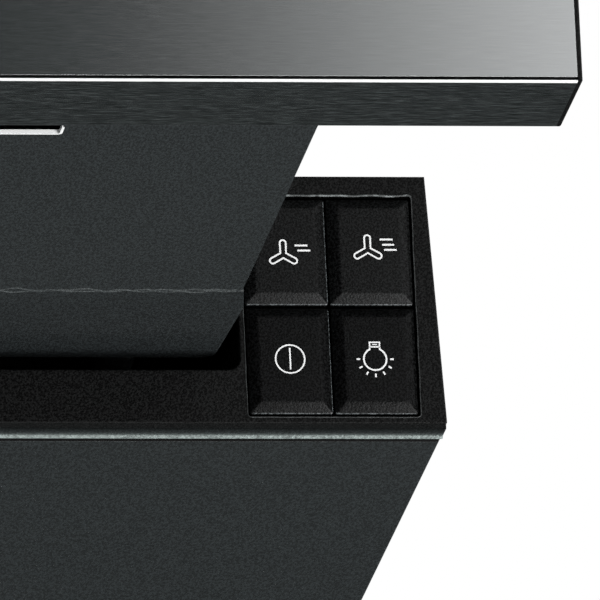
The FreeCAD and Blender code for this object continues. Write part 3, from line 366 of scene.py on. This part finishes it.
def brushed(name, colour, rough, depth, anisotropy, streaks, groove=False):
    """Metal brushed along X. Its level faces show longer, wavy streaks as well."""
    s = Shade(name, colour, rough, 1.0, Anisotropic=anisotropy, Anisotropic_Rotation=0.25)
    direction = s.node("ShaderNodeCombineXYZ")
    direction.inputs["X"].default_value = 1.0
    s.link(direction.outputs[0], s.shader.inputs["Tangent"])
    edge = s.soft_edges(0.0003)
    facing = s.node("ShaderNodeSeparateXYZ")
    s.link(s.node("ShaderNodeNewGeometry").outputs["True Normal"], facing.inputs[0])
    level = s.math("ABSOLUTE", facing.outputs["Z"])
    fine = s.noise(7000.0, 3.0, 0.6, 0.0, s.stretched((0.02, 1.0, 1.0)))
    streak = s.noise(2100.0, 3.0, 0.7, 0.35, s.stretched((0.1, 1.0, 1.0)))
    base = s.mix(s.ramp(fine, (0.35, 0.0), (0.65, 1.0)), scaled(colour, 0.96), scaled(colour, 1.04))
    wavy = s.ramp(streak, (0.34, 1 - streaks), (0.5, 1.0 - streaks * 0.2), (0.66, 1 + streaks * 1.2))
    base = s.mix(level, base, s.mix(1.0, base, wavy, "MULTIPLY"))
    # painted shade in the groove above the bar's bright edge strip
    if groove:
        base = groove_painted_shade(s, base)
    # painted highlight: the edges are mixed towards a lighter colour
    base = s.mix(s.math("MULTIPLY", edge, 0.4), base, scaled(colour, 1.4))
    s.bump(fine, depth)
    return s.done(base, s.ramp(streak, (0.3, rough - 0.03), (0.7, rough + 0.03)))


def plated(name, colour, rough=0.35, spangle=0.0):
    """Zinc-plated steel, with the flowery crystals of hot-dip sheet where asked for."""
    s = Shade(name, colour, rough, 1.0)
    edge = s.soft_edges(0.0003)
    smear = s.noise(45.0, 5.0, 0.6, 0.6)
    fine = s.noise(2500.0, 2.0, 0.6)
    base = s.mix(s.ramp(smear, (0.3, 0.0), (0.7, 1.0)), scaled(colour, 0.82), scaled(colour, 1.1))
    finish = s.ramp(smear, (0.3, rough - 0.06), (0.7, rough + 0.08))
    if spangle:
        cells = s.node("ShaderNodeTexVoronoi", feature="F1")
        cells.inputs["Scale"].default_value = spangle
        s.link(s.where, cells.inputs["Vector"])
        crystal = s.node("ShaderNodeSeparateColor")
        s.link(cells.outputs["Color"], crystal.inputs[0])
        tone = s.ramp(crystal.outputs[0], (0.0, 0.72), (1.0, 1.18))
        base = s.mix(1.0, base, tone, "MULTIPLY")
        finish = s.math("ADD", finish, s.math("MULTIPLY", crystal.outputs[1], 0.12))
    # painted highlight: the edges are mixed towards a lighter colour
    base = s.mix(s.math("MULTIPLY", edge, 0.4), base, scaled(colour, 1.35))
    s.bump(fine, 0.000004)
    return s.done(base, finish)


def polished_edge_painted_reflection():
    """Finely polished metal of the bar's edge strip and the slot's lip, given a nearly white colour as a
    painted reflection.
    """
    s = Shade("polished_edge_white_painted_reflection", (0.93, 0.94, 0.94), 0.35, 0.1)
    fine = s.noise(3000.0, 3.0, 0.6, 0.0, s.stretched((0.05, 1, 1)))
    s.bump(fine, 0.000004)
    base = s.mix(fine, (0.88, 0.89, 0.89), (0.98, 0.98, 0.98))
    return s.done(base, s.ramp(fine, (0.3, 0.28), (0.7, 0.4)))


def printed_white():
    """Screen-printed symbols: a thin white ink, a little uneven."""
    s = Shade("printed_white", (0.8, 0.8, 0.8), 0.5)
    uneven = s.noise(5000.0, 2.0)
    s.bump(uneven, 0.000003)
    return s.done(s.mix(uneven, (0.62, 0.63, 0.63), (0.9, 0.9, 0.9)))


def lens_look():
    """Frosted glass over a lamp, with a fine stipple."""
    s = Shade("frosted_lens", (0.9, 0.9, 0.86), 0.3, IOR=1.5, Transmission_Weight=0.4)
    stipple = s.noise(1800.0, 2.0, 0.6)
    cloud = s.noise(40.0, 3.0)
    s.bump(stipple, 0.00003)
    base = s.mix(cloud, (0.84, 0.84, 0.8), (0.93, 0.93, 0.9))
    return s.done(base, s.ramp(stipple, (0.3, 0.25), (0.7, 0.4)))


PAINT_GREY = (0.0130, 0.0158, 0.0167)
BLACK = (0.0036, 0.0037, 0.0037)
# the hem's painted highlight lies below this height
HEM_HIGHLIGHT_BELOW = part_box("underside_panel")[0][2] + 0.12 * MM
BEHIND_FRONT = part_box("black_front")[0][1] + 4.0 * MM   # the front plate's rear face
TUCK_FADE = 6.0 * MM          # the sheet's shadow behind the front fades over this depth
HEM_FROM = 3.3 * MM           # the hem's painted highlight zone, behind the front plate
HEM_FADE = 2.9 * MM
HEM_TO = 8.0 * MM
LOOKS = {
    "dark_paint": paint("satin_grey_paint", PAINT_GREY),
    "base_paint": paint("base_grey_paint", PAINT_GREY, hem_highlight_below=HEM_HIGHLIGHT_BELOW),
    "tray_paint": paint("tray_grey_paint", (0.0132, 0.0160, 0.0169)),
    "black_plastic": plastic("black_front_plastic", BLACK, 0.5, 1900.0, 0.00012, (0.2, 1.5), 0.97, 0.12),
    "key_plastic": plastic("key_black_plastic", (0.0036, 0.0038, 0.0039), 0.42, 1900.0, 0.00009, (0.2, 1.6),
                           0.97, 0.145),
    "brushed_dark": brushed("brushed_dark_steel", (0.40, 0.408, 0.41), 0.16, 0.000003, 0.0, 0.85, True),
    "polished": polished_edge_painted_reflection(),
    "zinc": plated("galvanised_sheet", (0.46, 0.48, 0.495), 0.48, 140.0),
    # painted shade: the rails are coloured near black so the opening behind the front stays dark
    "rail_steel": plated("rail_black_painted_shade", (0.035, 0.035, 0.037), 0.4),
    "screw_steel": plated("plated_screw_steel", (0.66, 0.66, 0.64), 0.25),
    "nylon": plastic("white_nylon", (0.78, 0.77, 0.72), 0.45, 1500.0, contrast=0.05),
    "rubber": plastic("black_rubber", (0.02, 0.02, 0.02), 0.75, 2500.0, 0.00003),
    "aluminium": brushed("satin_aluminium", (0.72, 0.73, 0.74), 0.42, 0.000006, 0.5, 0.12),
    "lens": lens_look(),
    "lamp_trim": plated("satin_lamp_ring", (0.75, 0.75, 0.75), 0.25),
    "grey_plastic": plastic("grey_moulded_plastic", (0.09, 0.09, 0.095), 0.5, 2500.0, contrast=0.2),
    "wheel_plastic": plastic("wheel_plastic", (0.02, 0.02, 0.022), 0.45, 2500.0, contrast=0.3),
    "motor_paint": paint("motor_enamel", (0.015, 0.015, 0.017), 0.35, 3000.0),
    "board_green": plastic("board_green", (0.01, 0.08, 0.03), 0.35, 2000.0, contrast=0.2),
    "white_can": plastic("white_can", (0.75, 0.75, 0.72), 0.35, 2000.0, contrast=0.05),
    "printed_white": printed_white(),
    # painted highlight: lighter plastic on the lit bottom and right rims of the keys
    "key_edge": plastic("key_edge_painted_highlight", (0.05, 0.056, 0.058), 0.35, 1500.0, 0.0001, (0.2, 1.3), 0.7, 0.5),
    # painted highlight on the recess rim: the bead is lighter than the black front, and its top lighter still
    "recess_bead": plastic("recess_bead", (0.022, 0.024, 0.024), 0.35, 700.0, 0.00002, (0.2, 1.3), 0.4, 0.4),
    "recess_bead_top_highlight": plastic("recess_bead_top_highlight", (0.10, 0.11, 0.11), 0.35, 600.0, 0.00002, (0.2, 1.3), 0.6,
                               0.5),
    # painted shade: a darker, less glossy copy of the key plastic for the lower keys
    "key_plastic_shaded": plastic("key_black_plastic_shaded", (0.0026, 0.0027, 0.0028), 0.4, 1900.0, 0.00009,
                               (0.2, 1.6), 0.97, 0.10),
    # painted shade: a black strip standing in for the dark gap in front of the underside panel
    "gap_shade_black": plastic("gap_shade_black", (0.003, 0.003, 0.003), 0.8, 2500.0, 0.00003, gloss=0.1),
    # painted highlight: the bend ridges are painted lighter than the tray
    "ridge_painted_highlight": paint("ridge_painted_highlight", (0.042, 0.048, 0.049), 0.4, contrast=0.4),
}
OWN_LOOKS = {"base_shell": "base_paint"}     # nodes whose look isn't named after their slot
SLOTS = {part["node"]: part["material_slot"] for part in frame["record"]["subparts"]}


def give(obj, material):
    obj.data.materials.clear()
    obj.data.materials.append(material)


for node_name, node_object in frame["nodes"].items():
    give(node_object, LOOKS[OWN_LOOKS.get(node_name, SLOTS[node_name])])


def floor_look():
    s = Shade("pale_floor", (0.8, 0.8, 0.79), 0.8)
    cloud = s.noise(3.0, 4.0)
    return s.done(s.mix(cloud, (0.78, 0.78, 0.77), (0.84, 0.84, 0.83)))


give(floor, floor_look())


# ------------------------------------------------------------------ mesh helpers
INK_INDEX = 1                # material index of flat printed faces
HIGHLIGHT_INDEX = 2             # material index of faces painted lighter as a painted highlight


def object_from(bm, name, looks, body, smooth):
    """A new piece from the bmesh, with its looks in order, riding on a body. smooth is in degrees."""
    mesh = bpy.data.meshes.new(name)
    bmesh.ops.recalc_face_normals(bm, faces=[f for f in bm.faces if f.material_index != INK_INDEX])
    bm.to_mesh(mesh)
    bm.free()
    piece = bpy.data.objects.new(name, mesh)
    scene.collection.objects.link(piece)
    for look in looks:
        mesh.materials.append(LOOKS[look])
    mesh.shade_smooth()
    mesh.set_sharp_from_angle(angle=math.radians(smooth))
    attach(piece, body)
    return piece


def ring_between(bm, lower, upper, highlit=()):
    """Faces between two closed rows of vertices of the same length. The faces numbered in highlit take the
    painted highlight look.
    """
    count = len(lower)
    for i in range(count):
        j = (i + 1) % count
        face = bm.faces.new((lower[i], lower[j], upper[j], upper[i]))
        face.material_index = HIGHLIGHT_INDEX if i in highlit else 0


def strips_between(bm, rows, looks=None):
    """Faces between neighbouring open rows of vertices, each pair of rows with a look of its own."""
    for index, (a, b) in enumerate(rows):
        for k in range(len(a) - 1):
            face = bm.faces.new((a[k], a[k + 1], b[k + 1], b[k]))
            face.material_index = looks[index] if looks else 0


def rounded_outline(half_w, half_h, radius, steps=5):
    """Points (u, v) round a rectangle with rounded corners."""
    points = []
    for corner, (su, sv) in enumerate(((1, 1), (-1, 1), (-1, -1), (1, -1))):
        cu = su * (half_w - radius)
        cv = sv * (half_h - radius)
        for i in range(steps + 1):
            a = math.radians(90 * corner + 90 * i / steps)
            points.append((cu + radius * math.cos(a), cv + radius * math.sin(a)))
    return points


# ------------------------------------------------------------------ keys and their symbols
KEY_SKIRT = 5.1 * MM         # depth of the skirt behind the rim
KEY_BEVEL = 2.6 * MM
KEY_RISE = 1.6 * MM          # from the rim forward to the face
KEY_STEM_R = 3.5 * MM
INK = 0.025 * MM             # the symbols stand this far in front of the face
STROKE = 0.40 * MM
RIM_ROWS = (3, 4)            # the cap's outline rows that its rim lies between
HIGHLIGHT_INNER = range(17, 24)  # the rim's faces along the bottom and the right side, where the light falls; painted highlight
HIGHLIGHT_OUTER = range(14, 19)  # along the bottom only; painted highlight


def key_cap(bm, low, high, highlit):
    """A chamfered cap with softened edges, painted lighter along the lit part of its rim as a painted
    highlight, and its stem.
    """
    cx = (low.x + high.x) / 2
    cz = (low.z + high.z) / 2
    half_w = (high.x - low.x) / 2
    half_h = (high.z - low.z) / 2
    rim = low.y + KEY_RISE
    back = rim + KEY_SKIRT
    profile = [
        (back, 0.9 * MM, 0.4 * MM), (back, 0.25 * MM, 0.5 * MM), (back - 0.25 * MM, 0.0, 0.5 * MM),
        (rim + 0.22 * MM, 0.0, 0.5 * MM), (rim + 0.04 * MM, 0.06 * MM, 0.5 * MM),
        (rim - 0.12 * MM, 0.22 * MM, 0.45 * MM),
        (low.y + 0.13 * MM, KEY_BEVEL - 0.2 * MM, 0.3 * MM),
        (low.y + 0.03 * MM, KEY_BEVEL + 0.02 * MM, 0.3 * MM),
        (low.y, KEY_BEVEL + 0.3 * MM, 0.3 * MM)]
    rows = []
    for y, inset, radius in profile:
        outline = rounded_outline(half_w - inset, half_h - inset, radius)
        rows.append([bm.verts.new((cx + u, y, cz + v)) for u, v in outline])
    for index, (lower, upper) in enumerate(zip(rows, rows[1:])):
        ring_between(bm, lower, upper, highlit if index in RIM_ROWS else ())
    bm.faces.new(rows[0])
    bm.faces.new(rows[-1])
    stem_rows = []
    for y, radius in ((back - 0.5 * MM, KEY_STEM_R), (high.y - 0.5 * MM, KEY_STEM_R),
                      (high.y - 0.1 * MM, KEY_STEM_R - 0.35 * MM), (high.y, KEY_STEM_R - 0.8 * MM)):
        circle = [(radius * math.cos(math.radians(15 * i)), radius * math.sin(math.radians(15 * i)))
                  for i in range(24)]
        stem_rows.append([bm.verts.new((cx + u, y, cz + v)) for u, v in circle])
    for lower, upper in zip(stem_rows, stem_rows[1:]):
        ring_between(bm, lower, upper)
    bm.faces.new(stem_rows[-1])


def stroke(bm, place, points, closed=False, width=STROKE):
    """A flat ribbon of even width along the points, on the plane that place puts (u, v) on."""
    points = [Vector(p) for p in points]
    count = len(points)
    sides = []
    for i, point in enumerate(points):
        before = points[i - 1] if i or closed else None
        after = points[(i + 1) % count] if i < count - 1 or closed else None
        ways = [w.normalized() for w in ((point - before) if before is not None else None,
                                         (after - point) if after is not None else None) if w is not None]
        way = sum(ways, Vector((0, 0))).normalized()
        reach = width / 2 / max(0.5, way.dot(ways[0]))
        across = Vector((-way.y, way.x)) * reach
        sides.append((bm.verts.new(place(point + across)), bm.verts.new(place(point - across))))
    for i in range(count if closed else count - 1):
        a, b = sides[i]
        c, d = sides[(i + 1) % count]
        bm.faces.new((a, b, d, c)).material_index = INK_INDEX


def arc(centre, radius, start, end, steps=24):
    """Points of an arc, angles in degrees."""
    return [(centre[0] + radius * math.cos(math.radians(start + (end - start) * i / steps)),
             centre[1] + radius * math.sin(math.radians(start + (end - start) * i / steps)))
            for i in range(steps + 1)]


def fan_symbol(bm, place, centre, lines):
    """A three-bladed fan in outline, and speed lines beside it, each (start, end, height)."""
    reach = 2.93 * MM
    tip = 0.72 * MM
    inner = 0.78 * MM
    outline = []
    for blade in (90, 210, 330):
        a = math.radians(blade)
        middle = (centre[0] + reach * math.cos(a), centre[1] + reach * math.sin(a))
        b = math.radians(blade - 60)
        outline.append((centre[0] + inner * math.cos(b), centre[1] + inner * math.sin(b)))
        outline += arc(middle, tip, blade - 90, blade + 90, 10)
    stroke(bm, place, outline, True)
    for start, end, height in lines:
        stroke(bm, place, [(start * MM, height * MM), (end * MM, height * MM)], width=0.46 * MM)


def power_symbol(bm, place):
    stroke(bm, place, arc((0.04 * MM, 0), 3.46 * MM, 0, 360, 48)[:-1], True, 0.36 * MM)
    stroke(bm, place, [(0.04 * MM, 2.75 * MM), (0.04 * MM, -2.59 * MM)], width=0.36 * MM)


def lamp_symbol(bm, place):
    """A bulb with its base above it and rays below it."""
    cu = -0.07 * MM
    neck = 1.19 * MM
    opening = math.degrees(math.acos(neck / (2.7 * MM)))
    bulb = arc((cu, 0), 2.7 * MM, 180 - opening, 360 + opening, 40)
    stroke(bm, place, [(cu - neck, 3.06 * MM)] + bulb + [(cu + neck, 3.06 * MM)], width=0.4 * MM)
    base = [(cu - neck, 3.06 * MM), (cu + neck, 3.06 * MM), (cu + neck, 4.17 * MM), (cu - neck, 4.17 * MM)]
    stroke(bm, place, base, True, 0.34 * MM)
    stroke(bm, place, [(cu - 0.6 * MM, 3.62 * MM), (cu + 0.6 * MM, 3.62 * MM)], width=0.22 * MM)
    for angle in (0, -30, -60, -90, -120, -150, 180):
        a = math.radians(angle)
        ray = [(cu + r * MM * math.cos(a), r * MM * math.sin(a)) for r in (3.58, 4.42)]
        stroke(bm, place, ray, width=0.4 * MM)


def add_keys():
    slow = [(2.36, 5.4, 1.17), (2.98, 6.03, -0.08)]
    fast = [(2.37, 5.45, 2.70), (2.9, 5.75, 1.4), (3.3, 6.3, 0.15)]
    symbols = {
        "key_fan_slow": lambda bm, place: fan_symbol(bm, place, (-0.44 * MM, -1.16 * MM), slow),
        "key_fan_fast": lambda bm, place: fan_symbol(bm, place, (-0.6 * MM, 0.13 * MM), fast),
        "key_power": power_symbol,
        "key_lamp": lamp_symbol}
    for node, symbol in symbols.items():
        low, high = (Vector(corner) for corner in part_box(node))
        middle = (low + high) / 2
        bm = bmesh.new()
        # the cap's rim takes the painted highlight on its lit faces
        key_cap(bm, low, high, HIGHLIGHT_INNER if node in ("key_fan_slow", "key_power") else HIGHLIGHT_OUTER)
        symbol(bm, lambda p: (middle.x + p[0], low.y - INK, middle.z + p[1]))
        # painted shade: the lower keys take the darker copy of the key plastic
        cap_look = "key_plastic_shaded" if node in ("key_power", "key_lamp") else "key_plastic"
        piece = object_from(bm, node + "_cap", [cap_look, "printed_white", "key_edge"], node, 24)
        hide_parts(node)


add_keys()


# ------------------------------------------------------------------ bead round the key recess
def add_recess_bead():
    """A thin, uneven bead round the recess, which catches the light; it is painted lighter than the front,
    and lighter still along its top, as a painted highlight.
    """
    corners = [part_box(node) for node in ("key_power", "key_lamp", "key_fan_slow", "key_fan_fast")]
    x0 = min(low[0] for low, high in corners) - 0.44 * MM
    x1 = max(high[0] for low, high in corners) + 0.44 * MM
    z0 = min(low[2] for low, high in corners) - 0.8 * MM
    z1 = max(high[2] for low, high in corners) + 0.8 * MM
    front_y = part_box("black_front")[0][1]
    centre = Vector(((x0 + x1) / 2, front_y, (z0 + z1) / 2))
    corner_points = rounded_outline((x1 - x0) / 2 + 0.1 * MM, (z1 - z0) / 2 + 0.1 * MM, 0.9 * MM)
    path = []
    for start, end in zip(corner_points, corner_points[1:] + corner_points[:1]):
        length = math.dist(start, end)
        count = max(1, round(length / (0.8 * MM)))
        way = (end[0] - start[0], end[1] - start[1])
        path += [Vector((start[0] + way[0] * i / count, 0, start[1] + way[1] * i / count))
                 for i in range(count)]
    bm = bmesh.new()
    rows = []
    total = len(path)
    top_from = (z1 - z0) / 2 - 0.3 * MM
    for i, point in enumerate(path):
        way = (path[(i + 1) % total] - path[i - 1]).normalized()
        out = Vector((way.z, 0, -way.x))
        top = 1.0 if point.z > top_from else 0.0
        wave = noise.noise(point * 220.0) * (0.10 + 0.14 * top) * MM
        radius = (0.15 + 0.10 * top + 0.05 * noise.noise(point * 400.0)) * MM
        middle = centre + point + out * wave
        rows.append([bm.verts.new(middle + out * (radius * math.cos(math.radians(a)))
                                  + Vector((0, -radius * math.sin(math.radians(a)), 0)))
                     for a in (-20, 15, 50, 90, 130, 165, 200)])
    # painted highlight: the bead's top run takes the lighter look
    looks = [HIGHLIGHT_INDEX if point.z > top_from else 0 for point in path]
    strips_between(bm, zip(rows, rows[1:] + rows[:1]), looks)
    piece = object_from(bm, "key_recess_bead", ["recess_bead", "recess_bead", "recess_bead_top_highlight"], "hood", 60)


add_recess_bead()


# ------------------------------------------------------------------ black strip behind the rolled hem, as painted shade of the gap
def add_hem_gap_shade():
    """A soft black strip that closes the gap in front of the underside panel, standing in for the gap's shade
    as painted shade.
    """
    low, high = (Vector(corner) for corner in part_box("underside_panel"))
    half = high.x - 0.4 * MM
    y = low.y
    profile = [(-0.05, 0.06), (-0.45, 0.16), (-0.6, 0.45), (-0.5, 0.8), (-0.05, 0.95)]
    bm = bmesh.new()
    rows = []
    steps = 300
    for i in range(steps + 1):
        x = -half + 2 * half * i / steps
        sway = 0.06 * noise.noise((x * 90.0, 3.0, 1.0)) * MM
        rows.append([bm.verts.new((x, y + dy * MM + sway, low.z + dz * MM)) for dy, dz in profile])
    strips_between(bm, zip(rows, rows[1:]))
    bm.faces.new(rows[0])
    bm.faces.new(rows[-1])
    piece = object_from(bm, "underside_gap_shade", ["gap_shade_black"], "hood", 50)


add_hem_gap_shade()


# ------------------------------------------------------------------ ridges at the tray's bend
BEND_FROM_FRONT = 55.0 * MM
RAMP_SLOPE = 4.8 / 65.0       # the tray's underside rises this much behind the bend
RIDGE_END_GAP = 4.4 * MM      # the tray is this much narrower at the bend than at its widest


def add_bend_ridges():
    """Two thin ridges where the skin is bent, not quite straight, across the tray's underside, painted
    lighter than the tray as a painted highlight.
    """
    low, high = (Vector(corner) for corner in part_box("tray_pan"))
    front_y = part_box("black_front")[0][1]
    bend_y = front_y - BEND_FROM_FRONT
    half = high.x - RIDGE_END_GAP
    steps = 900
    profile = ((-0.4, 0.02), (-0.18, -0.75), (0.0, -1.0), (0.18, -0.75), (0.4, 0.02))
    bm = bmesh.new()
    for index, offset in enumerate((-0.7 * MM, 0.5 * MM)):
        rows = []
        for i in range(steps + 1):
            x = -half + 2 * half * i / steps
            sway = noise.noise((x * 190.0, index * 7.0, 0.0)) * 1.9 * MM
            sway += noise.noise((x * 480.0, index * 5.0, 2.0)) * 0.7 * MM
            y = bend_y + offset + sway
            proud = max(0.03, 0.14 + 0.22 * noise.noise((x * 110.0, index * 3.0, 5.0))) * MM
            z = low.z + max(0.0, y - bend_y) * RAMP_SLOPE
            rows.append([bm.verts.new((x, y + w * MM, z + h * proud)) for w, h in profile])
        strips_between(bm, zip(rows, rows[1:]))
    piece = object_from(bm, "tray_bend_ridges", ["ridge_painted_highlight"], "tray", 60)


add_bend_ridges()


# ------------------------------------------------------------------ lamp lenses
def add_lamp_lenses():
    """Pressed glass lenses: a shallow dome with rings of prisms inside a flat rim."""
    low, high = (Vector(corner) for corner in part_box("lamp_lenses"))
    radius = (high.y - low.y) / 2
    cy = (low.y + high.y) / 2
    bm = bmesh.new()
    profile = [(radius, 1.0), (radius, 0.25), (radius - 0.4 * MM, 0.1), (radius - 1.6 * MM, 0.08)]
    rings = 14
    for k in range(rings):
        r = (radius - 1.8 * MM) * (1 - k / rings)
        profile += [(r, 0.26), (r - 0.75 * MM, 0.06)]
    for cx in (high.x - radius, low.x + radius):
        rows = []
        for r, share in profile:
            r = max(r, 0.05 * MM)
            z = low.z + share * (high.z - low.z)
            circle = [math.radians(5 * i) for i in range(72)]
            rows.append([bm.verts.new((cx + r * math.cos(a), cy + r * math.sin(a), z)) for a in circle])
        for a, b in zip(rows, rows[1:]):
            ring_between(bm, a, b)
        bm.faces.new(rows[0])
        bm.faces.new(rows[-1])
    piece = object_from(bm, "lamp_lens_prisms", ["lens"], "hood", 30)
    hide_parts("lamp_lenses")


add_lamp_lenses()
